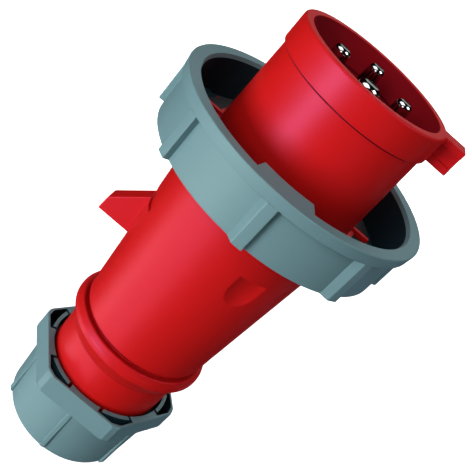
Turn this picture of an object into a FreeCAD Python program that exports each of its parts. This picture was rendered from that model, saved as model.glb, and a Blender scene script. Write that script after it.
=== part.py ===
import FreeCAD, Part
import math
import os
from FreeCAD import Vector

os.makedirs("parts", exist_ok=True)

# Four pole industrial pin and sleeve plug, watertight type, with a bayonet locking ring.
# Frame: the plug stands on the rear face of its gland nut, +Z runs up the axis to the mouth,
# the key is at +X, the cover catch at -X and the earth pin at -Y. All sizes are in millimetres.

# Gland nut
NUT_FLAT_LENGTH = 9.0
NUT_DOME_LENGTH = 23.5
NUT_ACROSS_FLATS = 54.8
NUT_CORNER_R = 30.9
NUT_SHOULDER_R = 26.6
NUT_REAR_R = 25.2
NUT_REAR_ROUND = 2.0
NUT_POCKET_WALL = 0.9
NUT_WEB_WIDTH = 13.1
NUT_FLOOR = 4.5
NUT_RIB_COUNT = 6
NUT_RIB_WIDTH = 2.2
NUT_RIB_HEIGHT = 1.4
NUT_RIB_TOP = 0.5
NUT_RIB_EDGE = 0.5
NUT_BEVEL = 0.5
NUT_BEVEL_LENGTH = 0.8
NUT_MOUTH_R = 24.9
FINGER_THICKNESS = 1.4
FINGER_SLIT = 1.2
FINGER_DEPTH = 6.8
CABLE_HOLE_R = 12.5

# Neck of the handle and the cable seal inside it
NECK_THREAD_R = 21.9
THREAD_CLEARANCE = 0.3
NECK_R = 23.4
NECK_ROOT_R = 24.0
NECK_VISIBLE = 13.5
NECK_WALL = 3.4
SEAL_SEAT_DEPTH = 18.0
SEAL_STOP = 3.0
SEAL_STOP_STEP = 2.0
SEAL_BORE_R = 11.0
INSERT_BORE_R = 7.0
INSERT_MARGIN = 1.5
PRESSURE_RING_T = 3.0
CAGE_FLANGE_T = 2.0
CAGE_DEPTH = 4.0
CAGE_SLOTS = 8
CAGE_SLOT_WIDTH = 1.5
CAGE_BORE_STEP = 1.0
CAGE_RIM_STEP = 1.0
CAGE_TIP = 2.0
CAGE_LEAD = 1.0

# Handle
RIM_R = 27.9
RIM_LENGTH = 5.0
RIM_FILLET_LENGTH = 5.6
RIM_BULGE = 0.25
RIM_EDGE = 0.6
GROOVE_WIDTH = 1.3
GROOVE_DEPTH = 1.2
HANDLE_REAR_R = 25.5
HANDLE_CREASE_R = 29.9
HANDLE_FRONT_R = 31.3
HANDLE_TAPER_LENGTH = 55.7
HANDLE_FLARE_LENGTH = 16.7
HANDLE_WALL = 3.0
HANDLE_EDGE = 0.8

# Cover catch on the handle
CATCH_WIDTH = 7.3
CATCH_TIP_R = 40.7
CATCH_DROP = 0.5
CATCH_BACK_TO_CREASE = 30.3
CATCH_TOP_LENGTH = 6.0
CATCH_RAMP_LENGTH = 11.0
CATCH_EDGE = 0.5
RELIEF_HALF_ANGLE = 27.0
RELIEF_LENGTH = 4.6
RELIEF_DEPTH = 0.8

# Thumb recesses on the handle
RECESS_ANGLE = 61.5
RECESS_R = 16.4
RECESS_DEPTH = 1.4
RECESS_STRAIGHT = 5.8
RECESS_TO_CREASE = 0.8

# Bayonet locking ring
RING_LENGTH = 21.0
RING_BORE_R = 42.9
RING_WALL = 2.5
RING_RIB_HEIGHT = 2.3
RING_FLARE = 0.5
RING_CHAMFER = 0.7
RING_CHAMFER_LENGTH = 1.4
RING_BAND_LENGTH = 4.1
RING_BAND_SLOPE = 0.8
RING_EDGE = 0.5
RING_REAR_EDGE = 0.5
RING_LIP_T = 3.0
RING_SKIRT = 1.5
RING_RIB_COUNT = 8
RING_RIB_ANGLE = 4.8
RING_RIB_SLOPE = 3.0
LUG_INNER_R = 37.5
LUG_HALF_ANGLE = 14.2
LUG_THICKNESS = 4.8
LUG_RAMP = 5.0
LUG_RAMP_DEPTH = 0.8
RING_TURN = 45.0
RUN_CLEARANCE = 0.1
END_CLEARANCE = 0.3

# Front shell with the shroud
FLANGE_R = 36.4
FLANGE_T = 1.7
BASE_RING_R = 30.0
BASE_RING_HEIGHT = 2.6
HUB_R = 28.9
SPIGOT_R = 27.4
SPIGOT_LENGTH = 13.0
SPIGOT_LEAD = 6.0
SPIGOT_BORE_R = 23.5
SHROUD_LENGTH = 46.4
SHROUD_ROOT_R = 28.4
SHROUD_TOP_R = 27.9
COLLAR_R = 28.9
COLLAR_LENGTH = 9.9
COLLAR_EDGE = 0.5
MOUTH_R = 25.65
FLOOR_TO_FLANGE = 8.4
FLOOR_T = 4.2
KEY_WIDTH = 7.7
KEY_REACH_R = 34.1
KEY_LENGTH = 9.5
KEY_EDGE = 0.8
KEY_FRONT_PLATE = 2.4
KEY_REAR_PLATE = 2.5
KEY_POCKET = 0.95
STOP_ANGLE = 30.0
STOP_WIDTH_ANGLE = 6.0
STOP_GAP_ANGLE = 0.5
STOP_REACH = 2.2
TAB_WIDTH = 2.0
TAB_REACH_R = 35.3
TAB_HEIGHT = 1.8
SEAT_CLEARANCE = 0.1
SHROUD_SEAL_R = 36.2
SHROUD_SEAL_HEIGHT = 1.8
HOUSING_SEAL_SECTION = 2.0
HOUSING_SEAL_FROM_END = 4.5
HOUSING_SEAL_PLAY = 0.3

# Contacts
PIN_CIRCLE_R = 12.65
LINE_PIN_R = 3.0
EARTH_PIN_R = 4.0
PIN_BELOW_MOUTH = 0.9
BARREL_WALL = 2.2
LINE_WIRE_R = 3.0
EARTH_WIRE_R = 3.6
WIRE_DEPTH = 18.0
PIN_COLLAR_T = 3.0
PIN_COLLAR_STEP = 1.2
PIN_ROOT_STEP = 0.4
LINE_SCREW_R = 2.0
EARTH_SCREW_R = 2.5
SCREW_FROM_END = 5.0
SCREW_PITCH = 7.5
SCREW_SUNK = 0.6
SCREW_STAND_OFF = 0.2
SCREW_SLOT_DEPTH = 1.0
SCREW_SLOT_WIDTH = 0.7

# Contact carrier
CARRIER_STEM_R = 20.6
CARRIER_LENGTH = 41.0
SCREW_WAY = 0.3
RETAINER_T = 3.0
RETAINER_STEP = 0.4
WIRE_CLEARANCE = 0.3
PLATE_SCREW_CIRCLE_R = 15.0
PLATE_SCREW_R = 1.75
PLATE_SCREW_HEAD_R = 3.2
PLATE_SCREW_HEAD_T = 2.2
PLATE_SCREW_SLOT = 1.0
RETAINER_SCREW_DEPTH = 20.0
CARRIER_SCREW_GRIP = 3.0

# Heights worked out from the sizes above
NUT_FRONT = NUT_DOME_LENGTH + NUT_FLAT_LENGTH
PRESSURE_LOW = NUT_FLOOR + END_CLEARANCE
CAGE_LOW = PRESSURE_LOW + PRESSURE_RING_T + END_CLEARANCE
NECK_END = CAGE_LOW + CAGE_FLANGE_T
NECK_SHOULDER = NUT_DOME_LENGTH + 1.0
NECK_TOP = NUT_FRONT + NECK_VISIBLE
RIM_LOW = NECK_TOP + RIM_FILLET_LENGTH
RIM_HIGH = RIM_LOW + RIM_LENGTH
HANDLE_LOW = RIM_HIGH + GROOVE_WIDTH
CREASE = HANDLE_LOW + HANDLE_TAPER_LENGTH
HANDLE_FRONT = CREASE + HANDLE_FLARE_LENGTH
LIP_LOW = HANDLE_FRONT + END_CLEARANCE
LIP_HIGH = LIP_LOW + RING_LIP_T
RING_REAR = LIP_LOW - RING_SKIRT
RING_FRONT = RING_REAR + RING_LENGTH
FLANGE_LOW = LIP_HIGH + END_CLEARANCE
FLANGE_HIGH = FLANGE_LOW + FLANGE_T
BASE_RING_HIGH = FLANGE_HIGH + BASE_RING_HEIGHT
SHROUD_SEAL_HIGH = FLANGE_HIGH + SHROUD_SEAL_HEIGHT
FLOOR_HIGH = FLANGE_HIGH + FLOOR_TO_FLANGE
FLOOR_LOW = FLOOR_HIGH - FLOOR_T
MOUTH = FLANGE_HIGH + SHROUD_LENGTH
SPIGOT_LOW = HANDLE_FRONT - SPIGOT_LENGTH
CATCH_BACK = CREASE - CATCH_BACK_TO_CREASE
CATCH_FOOT = CATCH_BACK + CATCH_TOP_LENGTH + CATCH_RAMP_LENGTH
CARRIER_LOW = FLOOR_LOW - CARRIER_LENGTH
SEAL_SEAT_TOP = NECK_END + SEAL_SEAT_DEPTH
SEAL_SEAT_R = NECK_THREAD_R - NECK_WALL
NUT_BORE_R = NECK_THREAD_R + THREAD_CLEARANCE
HANDLE_BORE_R = SPIGOT_R + SEAT_CLEARANCE
PIN_TIP = MOUTH - PIN_BELOW_MOUTH
RING_PANEL_R = RING_BORE_R + RING_WALL
RING_BAND_R = RING_PANEL_R + RING_RIB_HEIGHT
RING_FRONT_R = RING_BAND_R + RING_FLARE


def profile(*steps):
    """Closed face in the XZ plane. A step is a point (r, z), or a pair of them for an arc."""
    here = Vector(steps[0][0], 0, steps[0][1])
    edges = []
    for step in steps[1:] + (steps[0],):
        if isinstance(step[0], tuple):
            middle = Vector(step[0][0], 0, step[0][1])
            there = Vector(step[1][0], 0, step[1][1])
            edges.append(Part.Arc(here, middle, there).toShape())
        else:
            there = Vector(step[0], 0, step[1])
            edges.append(Part.LineSegment(here, there).toShape())
        here = there
    return Part.Face(Part.Wire(edges))


def rounding(radius):
    """How far the middle of a quarter round stands in from its corner."""
    return radius * (1 - math.sqrt(0.5))


def turned(*steps):
    """Solid of revolution about the plug's axis."""
    return profile(*steps).revolve(Vector(0, 0, 0), Vector(0, 0, 1), 360)


def rod(radius, low, high, at=Vector(0, 0, 0)):
    return Part.makeCylinder(radius, high - low, Vector(at.x, at.y, low))


def tube(inner, outer, low, high):
    return turned((inner, low), (outer, low), (outer, high), (inner, high))


def spin(shape, degrees):
    """A copy turned about the plug's axis."""
    copy = shape.copy()
    copy.rotate(Vector(0, 0, 0), Vector(0, 0, 1), degrees)
    return copy


def sector(inner, outer, low, high, start, end):
    """Part of a tube between two angles in degrees."""
    face = profile((inner, low), (outer, low), (outer, high), (inner, high))
    return spin(face, start).revolve(Vector(0, 0, 0), Vector(0, 0, 1), end - start)


def radial_block(inner, outer, width, low, high):
    """Straight block that runs out from the axis along +X."""
    return Part.makeBox(outer - inner, width, high - low, Vector(inner, -width / 2, low))


def around(shape, count, first=0.0):
    """Equally spaced copies about the axis."""
    return [spin(shape, first + 360.0 * k / count) for k in range(count)]


def polar(radius, degrees):
    angle = math.radians(degrees)
    return Vector(radius * math.cos(angle), radius * math.sin(angle), 0)


def hexagon(across_flats, low, high):
    """Hexagonal prism with a corner on +X."""
    corner = across_flats / 2 / math.cos(math.radians(30))
    points = [polar(corner, 60 * k) + Vector(0, 0, low) for k in range(6)]
    face = Part.Face(Part.makePolygon(points + points[:1]))
    return face.extrude(Vector(0, 0, high - low))


def save(name, shape):
    shape.exportStep("parts/" + name + ".step")


def handle_radius(height):
    """Outer radius of the tapered grip."""
    share = (height - HANDLE_LOW) / HANDLE_TAPER_LENGTH
    return HANDLE_REAR_R + share * (HANDLE_CREASE_R - HANDLE_REAR_R)


def gland_nut():
    corner = rounding(NUT_REAR_ROUND)
    outside = turned((0, 0), (NUT_REAR_R - NUT_REAR_ROUND, 0),
                     ((NUT_REAR_R - corner, corner), (NUT_REAR_R, NUT_REAR_ROUND)),
                     (NUT_SHOULDER_R, NUT_DOME_LENGTH), (0, NUT_DOME_LENGTH))
    root = (NUT_REAR_R + NUT_BORE_R) / 2
    crest = NUT_REAR_R + NUT_RIB_HEIGHT
    rib = profile((root, NUT_REAR_ROUND - NUT_RIB_EDGE), (crest - NUT_RIB_EDGE, NUT_REAR_ROUND - NUT_RIB_EDGE),
                  (crest, NUT_REAR_ROUND + NUT_RIB_EDGE), (NUT_SHOULDER_R + NUT_RIB_TOP, NUT_DOME_LENGTH),
                  (root, NUT_DOME_LENGTH))
    rib.translate(Vector(0, -NUT_RIB_WIDTH / 2, 0))
    rib = rib.extrude(Vector(0, NUT_RIB_WIDTH, 0))
    for copy in around(rib, NUT_RIB_COUNT, 180.0 / NUT_RIB_COUNT):
        outside = outside.fuse(copy)
    bevel_r = NUT_CORNER_R - NUT_BEVEL
    bevel = turned((0, NUT_DOME_LENGTH), (bevel_r, NUT_DOME_LENGTH),
                   (NUT_CORNER_R, NUT_DOME_LENGTH + NUT_BEVEL_LENGTH),
                   (NUT_CORNER_R, NUT_FRONT - NUT_BEVEL_LENGTH), (bevel_r, NUT_FRONT), (0, NUT_FRONT))
    outside = outside.fuse(hexagon(NUT_ACROSS_FLATS, NUT_DOME_LENGTH, NUT_FRONT).common(bevel))
    bore = turned((0, NUT_FLOOR), (NUT_BORE_R, NUT_FLOOR), (NUT_BORE_R, NUT_DOME_LENGTH),
                  (NUT_MOUTH_R, NUT_DOME_LENGTH + 1.5), (NUT_MOUTH_R, NUT_FRONT), (0, NUT_FRONT))
    finger_r = NUT_MOUTH_R + FINGER_THICKNESS
    pocket_low = NUT_FRONT - FINGER_DEPTH
    pocket_r = NUT_CORNER_R - NUT_BEVEL - NUT_POCKET_WALL
    pockets = tube(finger_r, pocket_r, pocket_low, NUT_FRONT)
    pockets = pockets.common(hexagon(NUT_ACROSS_FLATS - 2 * NUT_POCKET_WALL, pocket_low, NUT_FRONT))
    body = outside.cut(bore).cut(rod(CABLE_HOLE_R, 0, NUT_FLOOR))
    web = radial_block(0, NUT_CORNER_R, NUT_WEB_WIDTH, pocket_low, NUT_FRONT)
    for copy in around(web, 6, 30):
        pockets = pockets.cut(copy)
    body = body.cut(pockets)
    inner = NUT_MOUTH_R - FINGER_THICKNESS
    for start in (NUT_WEB_WIDTH / 2, -NUT_WEB_WIDTH / 2 - FINGER_SLIT):
        slit = Part.makeBox(finger_r - inner, FINGER_SLIT, FINGER_DEPTH, Vector(inner, start, pocket_low))
        for copy in around(slit, 6, 30):
            body = body.cut(copy)
    return body.removeSplitter()


def pressure_ring():
    outer = NUT_BORE_R - THREAD_CLEARANCE
    return tube(CABLE_HOLE_R + END_CLEARANCE, outer, PRESSURE_LOW, PRESSURE_LOW + PRESSURE_RING_T)


def clamp_cage():
    outer = SEAL_SEAT_R - SEAT_CLEARANCE
    inner = SEAL_BORE_R + CAGE_BORE_STEP
    rim = NECK_THREAD_R - CAGE_RIM_STEP
    tip = NECK_END + CAGE_DEPTH
    ring = turned((inner, CAGE_LOW), (rim, CAGE_LOW), (rim, NECK_END), (outer, NECK_END),
                  (outer, tip), (outer - CAGE_TIP, tip), (inner, NECK_END + CAGE_LEAD))
    slot = radial_block(inner - 1, outer + 1, CAGE_SLOT_WIDTH, NECK_END + CAGE_LEAD / 2, tip)
    for copy in around(slot, CAGE_SLOTS, 180.0 / CAGE_SLOTS):
        ring = ring.cut(copy)
    return ring


def seal_bush():
    outer = SEAL_SEAT_R - SEAT_CLEARANCE
    low = NECK_END + CAGE_LEAD + SEAT_CLEARANCE
    shoulder = NECK_END + CAGE_DEPTH + SEAT_CLEARANCE
    return turned((SEAL_BORE_R, low), (SEAL_BORE_R + CAGE_BORE_STEP, low), (outer - CAGE_TIP, shoulder),
                  (outer, shoulder), (outer, SEAL_SEAT_TOP), (SEAL_BORE_R, SEAL_SEAT_TOP))


def seal_insert():
    low = NECK_END + CAGE_LEAD + INSERT_MARGIN
    return tube(INSERT_BORE_R, SEAL_BORE_R - SEAT_CLEARANCE, low, SEAL_SEAT_TOP - INSERT_MARGIN)


def handle_outside():
    """Turned outside of the grip, its rim and its neck."""
    groove_r = HANDLE_REAR_R - GROOVE_DEPTH
    blend = (NECK_ROOT_R + 0.23 * (RIM_R - NECK_ROOT_R), NECK_TOP + 0.62 * RIM_FILLET_LENGTH)
    rim_crown = (RIM_R + RIM_BULGE, RIM_LOW + 0.4 * RIM_LENGTH)
    rim_end = (RIM_R - RIM_EDGE, RIM_HIGH - 1.6 * RIM_EDGE)
    return turned((0, NECK_END), (NECK_THREAD_R, NECK_END), (NECK_THREAD_R, NECK_SHOULDER),
                  (NECK_R, NECK_SHOULDER + NECK_R - NECK_THREAD_R), (NECK_ROOT_R, NECK_TOP),
                  (blend, (RIM_R, RIM_LOW)), (rim_crown, rim_end),
                  (HANDLE_REAR_R + GROOVE_WIDTH, RIM_HIGH), (groove_r, RIM_HIGH - GROOVE_DEPTH / 2),
                  (groove_r, HANDLE_LOW - GROOVE_DEPTH / 4), (HANDLE_REAR_R, HANDLE_LOW), (HANDLE_CREASE_R, CREASE),
                  (HANDLE_FRONT_R, HANDLE_FRONT - HANDLE_EDGE), (HANDLE_FRONT_R - HANDLE_EDGE, HANDLE_FRONT),
                  (0, HANDLE_FRONT))


def handle_inside():
    """Room for the contacts and the wires, down to the seat of the cable seal."""
    stem_high = SPIGOT_LOW - SPIGOT_LEAD
    stem_room = handle_radius(stem_high) - HANDLE_WALL
    rear_room = NECK_ROOT_R - NECK_WALL
    seat_high = SEAL_SEAT_TOP + SEAL_STOP
    return turned((0, seat_high), (SEAL_BORE_R + SEAL_STOP_STEP, seat_high), (rear_room - 1.0, NUT_FRONT + SEAL_STOP),
                  (rear_room, NECK_TOP), (rear_room + 0.6, HANDLE_LOW), (stem_room, stem_high),
                  (HANDLE_BORE_R, SPIGOT_LOW - 0.5), (HANDLE_BORE_R, HANDLE_FRONT), (0, HANDLE_FRONT))


def catch():
    """Fin that the sprung cover of a socket hooks behind: a ramp from the front, a steep rear face."""
    top = CATCH_BACK + CATCH_TOP_LENGTH
    root = handle_radius(CATCH_BACK) - HANDLE_WALL / 2
    foot = handle_radius(CATCH_FOOT) - HANDLE_WALL / 10
    face = profile((root, CATCH_BACK), (CATCH_TIP_R, CATCH_BACK), (CATCH_TIP_R - CATCH_DROP, top),
                   (foot, CATCH_FOOT), (root, CATCH_FOOT))
    face.translate(Vector(0, -CATCH_WIDTH / 2, 0))
    fin = face.extrude(Vector(0, CATCH_WIDTH, 0))
    low_tip = CATCH_TIP_R - CATCH_DROP - 0.01
    ridges = [e for e in fin.Edges if e.BoundBox.XMin > low_tip and e.BoundBox.YLength < 0.01]
    return spin(fin.makeChamfer(CATCH_EDGE, ridges), 180)


def thumb_recess():
    """Cutter for a scoop that follows the taper of the grip and is round at its rear end."""
    half_way = RECESS_R * math.sqrt(0.5)
    round_end = ((half_way, -RECESS_STRAIGHT - half_way), (RECESS_R, -RECESS_STRAIGHT))
    scoop = turned((0, -RECESS_STRAIGHT - RECESS_R), round_end, (RECESS_R, 0), (0, 0))
    scoop.translate(Vector(RECESS_R, 0, 0))
    taper = math.degrees(math.atan((HANDLE_CREASE_R - HANDLE_REAR_R) / HANDLE_TAPER_LENGTH))
    scoop.rotate(Vector(0, 0, 0), Vector(0, 1, 0), taper)
    front = CREASE - RECESS_TO_CREASE
    scoop.translate(Vector(handle_radius(front) - RECESS_DEPTH, 0, front))
    return scoop


def handle_shell():
    body = handle_outside()
    relief_r = handle_radius(CATCH_FOOT) - RELIEF_DEPTH
    relief = sector(relief_r, HANDLE_FRONT_R, CATCH_FOOT, CATCH_FOOT + RELIEF_LENGTH,
                    180 - RELIEF_HALF_ANGLE, 180 + RELIEF_HALF_ANGLE)
    body = body.cut(relief).fuse(catch())
    for angle in (-RECESS_ANGLE, RECESS_ANGLE):
        body = body.cut(spin(thumb_recess(), angle))
    body = body.cut(rod(SEAL_SEAT_R, NECK_END, SEAL_SEAT_TOP))
    body = body.cut(rod(SEAL_BORE_R + SEAL_STOP_STEP, SEAL_SEAT_TOP, SEAL_SEAT_TOP + SEAL_STOP))
    return body.cut(handle_inside()).removeSplitter()


def ring_rib():
    """Grip rib with one steep side and one sloping side, from the rear edge to the front band."""
    half = RING_RIB_ANGLE / 2
    buried = RING_BORE_R + RING_WALL / 4
    steep = polar(RING_BAND_R, half)
    ridge = polar(RING_BAND_R, -half)
    foot = polar(RING_PANEL_R - 0.2, -half - RING_RIB_SLOPE)
    inner_foot = polar(buried, -half - RING_RIB_SLOPE)
    inner_steep = polar(buried, half)
    top = Part.Arc(steep, polar(RING_BAND_R, 0), ridge).toShape()
    sides = Part.makePolygon([ridge, foot, inner_foot, inner_steep, steep])
    face = Part.Face(Part.Wire([top] + sides.Edges))
    face.translate(Vector(0, 0, RING_REAR))
    return face.extrude(Vector(0, 0, RING_LENGTH - RING_BAND_LENGTH + 0.1))


def ring_lug():
    """Inward bayonet lug, flush with the front face, with a ramp behind it."""
    outer = RING_BORE_R + RING_WALL / 2
    low = RING_FRONT - LUG_THICKNESS
    lug = sector(LUG_INNER_R, outer, low, RING_FRONT, -LUG_HALF_ANGLE, LUG_HALF_ANGLE)
    wedge = radial_block(0, 2 * outer, 2 * outer, -LUG_THICKNESS, 0)
    wedge.rotate(Vector(0, 0, 0), Vector(1, 0, 0), LUG_RAMP)
    wedge.translate(Vector(0, 0, low + LUG_RAMP_DEPTH))
    return lug.cut(wedge)


def locking_ring():
    band_low = RING_FRONT - RING_BAND_LENGTH
    corner = rounding(RING_EDGE)
    running_r = HUB_R + RUN_CLEARANCE
    body = turned((running_r, LIP_LOW), (RING_BORE_R, LIP_LOW), (RING_BORE_R, RING_REAR),
                  (RING_PANEL_R - RING_REAR_EDGE, RING_REAR), (RING_PANEL_R, RING_REAR + RING_REAR_EDGE),
                  (RING_PANEL_R, band_low - RING_BAND_SLOPE),
                  (RING_BAND_R, band_low), (RING_FRONT_R, RING_FRONT - RING_EDGE),
                  ((RING_FRONT_R - corner, RING_FRONT - corner), (RING_FRONT_R - RING_EDGE, RING_FRONT)),
                  (RING_BORE_R + RING_CHAMFER, RING_FRONT), (RING_BORE_R, RING_FRONT - RING_CHAMFER_LENGTH),
                  (RING_BORE_R, LIP_HIGH), (running_r, LIP_HIGH))
    ribs = around(ring_rib(), RING_RIB_COUNT)
    lugs = [spin(ring_lug(), angle) for angle in (-90, 90)]
    nib_out = RING_BORE_R + RING_WALL / 4
    nib_start = -STOP_ANGLE + STOP_WIDTH_ANGLE / 2 + STOP_GAP_ANGLE
    nib_end = STOP_ANGLE - STOP_WIDTH_ANGLE / 2 - STOP_GAP_ANGLE - RING_TURN
    nib_high = FLANGE_HIGH - END_CLEARANCE
    nib = sector(FLANGE_R + END_CLEARANCE, nib_out, LIP_HIGH - END_CLEARANCE, nib_high, nib_start, nib_end)
    return body.multiFuse(ribs + lugs + around(nib, 2)).removeSplitter()


def key():
    """Polarising key: a block on the collar with a pocket in each side, open at its outer face."""
    low = MOUTH - KEY_LENGTH
    inner = SHROUD_TOP_R - 1.0
    block = radial_block(inner, KEY_REACH_R, KEY_WIDTH, low, MOUTH)
    corners = [e for e in block.Edges if e.BoundBox.XMin > KEY_REACH_R - 0.01 and e.BoundBox.ZLength > 1]
    block = block.makeFillet(KEY_EDGE, corners)
    depth = KEY_LENGTH - KEY_FRONT_PLATE - KEY_REAR_PLATE
    for side in (-1, 1):
        corner = Vector(inner, side * KEY_WIDTH / 2 - KEY_POCKET, low + KEY_REAR_PLATE)
        block = block.cut(Part.makeBox(KEY_REACH_R, 2 * KEY_POCKET, depth, corner))
    return block


def front_shroud():
    collar_low = MOUTH - COLLAR_LENGTH
    body = turned((0, SPIGOT_LOW), (SPIGOT_R, SPIGOT_LOW), (SPIGOT_R, HANDLE_FRONT), (HUB_R, HANDLE_FRONT),
                  (HUB_R, FLANGE_LOW), (FLANGE_R, FLANGE_LOW), (FLANGE_R, FLANGE_HIGH), (BASE_RING_R, FLANGE_HIGH),
                  (BASE_RING_R, BASE_RING_HIGH), (SHROUD_ROOT_R, BASE_RING_HIGH), (SHROUD_TOP_R, collar_low),
                  (COLLAR_R, collar_low), (COLLAR_R, MOUTH - COLLAR_EDGE), (COLLAR_R - COLLAR_EDGE, MOUTH),
                  (0, MOUTH))
    body = body.fuse(key()).cut(rod(MOUTH_R, FLOOR_HIGH, MOUTH)).cut(rod(SPIGOT_BORE_R, SPIGOT_LOW, FLOOR_LOW))
    half_stop = STOP_WIDTH_ANGLE / 2
    stop = sector(FLANGE_R - STOP_REACH, FLANGE_R + STOP_REACH, FLANGE_LOW, FLANGE_HIGH, -half_stop, half_stop)
    tab_high = SHROUD_SEAL_HIGH + TAB_HEIGHT
    tab = radial_block(SHROUD_ROOT_R - 1, TAB_REACH_R, TAB_WIDTH, SHROUD_SEAL_HIGH, tab_high)
    for middle in (0, 180):
        body = body.fuse(spin(tab, middle))
        for side in (-1, 1):
            body = body.fuse(spin(stop, middle + side * STOP_ANGLE))
    hole_play = PIN_ROOT_STEP + SEAT_CLEARANCE
    for angle in (0, 90, 180):
        body = body.cut(rod(LINE_PIN_R + hole_play, FLOOR_LOW, FLOOR_HIGH, polar(PIN_CIRCLE_R, angle)))
    body = body.cut(rod(EARTH_PIN_R + hole_play, FLOOR_LOW, FLOOR_HIGH, polar(PIN_CIRCLE_R, -90)))
    seal_low = SPIGOT_LOW + HOUSING_SEAL_FROM_END
    seal_high = seal_low + HOUSING_SEAL_SECTION + 2 * HOUSING_SEAL_PLAY
    body = body.cut(tube(SPIGOT_R - HOUSING_SEAL_SECTION, SPIGOT_R + 1, seal_low, seal_high))
    for angle in (135, 315):
        at = polar(PLATE_SCREW_CIRCLE_R, angle)
        body = body.cut(rod(PLATE_SCREW_R, FLOOR_LOW, FLOOR_LOW + CARRIER_SCREW_GRIP, at))
    return body.removeSplitter()


def shroud_seal():
    return tube(BASE_RING_R + SEAT_CLEARANCE / 2, SHROUD_SEAL_R, FLANGE_HIGH, SHROUD_SEAL_HIGH)


def housing_seal():
    section_r = HOUSING_SEAL_SECTION / 2
    middle = SPIGOT_LOW + HOUSING_SEAL_FROM_END + section_r + HOUSING_SEAL_PLAY
    return Part.makeTorus(SPIGOT_R - section_r, section_r, Vector(0, 0, middle))


def contact(pin_r, wire_r, screw_r, angle):
    """Pin, collar and wire barrel turned from one bar."""
    barrel_r = wire_r + BARREL_WALL
    collar_low = FLOOR_LOW - PIN_COLLAR_T
    half_way = pin_r * math.sqrt(0.5)
    dome = (half_way, PIN_TIP - pin_r + half_way)
    collar_r = pin_r + PIN_COLLAR_STEP
    root_r = pin_r + PIN_ROOT_STEP
    pin = turned((0, CARRIER_LOW), (barrel_r, CARRIER_LOW), (barrel_r, collar_low), (collar_r, collar_low),
                 (collar_r, FLOOR_LOW), (root_r, FLOOR_LOW), (root_r, FLOOR_HIGH), (pin_r, FLOOR_HIGH),
                 (pin_r, PIN_TIP - pin_r), (dome, (0, PIN_TIP)))
    pin = pin.cut(rod(wire_r, CARRIER_LOW, CARRIER_LOW + WIRE_DEPTH))
    for step in (0, 1):
        height = CARRIER_LOW + SCREW_FROM_END + step * SCREW_PITCH
        tapped_r = screw_r + SEAT_CLEARANCE / 2
        pin = pin.cut(Part.makeCylinder(tapped_r, barrel_r + 1, Vector(0, 0, height), Vector(1, 0, 0)))
    pin.translate(Vector(PIN_CIRCLE_R, 0, 0))
    return spin(pin, angle)


def terminal_screws(wire_r, screw_r, angles):
    """Slotted clamp screws, two to each barrel, with their heads at the side of the carrier."""
    solids = []
    inner = PIN_CIRCLE_R + wire_r + SCREW_STAND_OFF
    head = CARRIER_STEM_R - SCREW_SUNK
    corner = Vector(head - SCREW_SLOT_DEPTH, -2 * screw_r, -SCREW_SLOT_WIDTH / 2)
    slot = Part.makeBox(2 * SCREW_SLOT_DEPTH, 4 * screw_r, SCREW_SLOT_WIDTH, corner)
    screw = Part.makeCylinder(screw_r, head - inner, Vector(inner, 0, 0), Vector(1, 0, 0)).cut(slot)
    for angle in angles:
        for step in (0, 1):
            placed = spin(screw, angle)
            placed.translate(Vector(0, 0, CARRIER_LOW + SCREW_FROM_END + step * SCREW_PITCH))
            solids.append(placed)
    return Part.makeCompound(solids)


def contact_carrier():
    """Insulating block: a head seated in the spigot and a stem with the terminal chambers."""
    head_r = SPIGOT_BORE_R - SEAT_CLEARANCE
    body = turned((0, CARRIER_LOW), (CARRIER_STEM_R, CARRIER_LOW), (CARRIER_STEM_R, SPIGOT_LOW), (head_r, SPIGOT_LOW),
                  (head_r, FLOOR_LOW), (0, FLOOR_LOW))
    chambers = [(LINE_PIN_R, LINE_WIRE_R, LINE_SCREW_R, angle) for angle in (0, 90, 180)]
    chambers.append((EARTH_PIN_R, EARTH_WIRE_R, EARTH_SCREW_R, -90))
    for pin_r, wire_r, screw_r, angle in chambers:
        at = polar(PIN_CIRCLE_R, angle)
        body = body.cut(rod(wire_r + BARREL_WALL + SEAT_CLEARANCE, CARRIER_LOW, FLOOR_LOW - PIN_COLLAR_T, at))
        body = body.cut(rod(pin_r + PIN_COLLAR_STEP + SEAT_CLEARANCE, FLOOR_LOW - PIN_COLLAR_T, FLOOR_LOW, at))
        for step in (0, 1):
            start = Vector(PIN_CIRCLE_R, 0, CARRIER_LOW + SCREW_FROM_END + step * SCREW_PITCH)
            way = Part.makeCylinder(screw_r + SCREW_WAY, CARRIER_STEM_R, start, Vector(1, 0, 0))
            body = body.cut(spin(way, angle))
    for angle in (45, 225):
        at = polar(PLATE_SCREW_CIRCLE_R, angle)
        body = body.cut(rod(PLATE_SCREW_R, CARRIER_LOW, CARRIER_LOW + RETAINER_SCREW_DEPTH, at))
    for angle in (135, 315):
        at = polar(PLATE_SCREW_CIRCLE_R, angle)
        body = body.cut(rod(PLATE_SCREW_R + SEAT_CLEARANCE, CARRIER_LOW, FLOOR_LOW, at))
    return body


def retainer_plate():
    low = CARRIER_LOW - RETAINER_T
    plate = rod(CARRIER_STEM_R - RETAINER_STEP, low, CARRIER_LOW)
    for angle in (0, 90, 180):
        plate = plate.cut(rod(LINE_WIRE_R + WIRE_CLEARANCE, low, CARRIER_LOW, polar(PIN_CIRCLE_R, angle)))
    plate = plate.cut(rod(EARTH_WIRE_R + WIRE_CLEARANCE, low, CARRIER_LOW, polar(PIN_CIRCLE_R, -90)))
    screw_hole = rod(PLATE_SCREW_R + SEAT_CLEARANCE, low, CARRIER_LOW, Vector(PLATE_SCREW_CIRCLE_R, 0, 0))
    for copy in around(screw_hole, 4, 45):
        plate = plate.cut(copy)
    return plate


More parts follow.
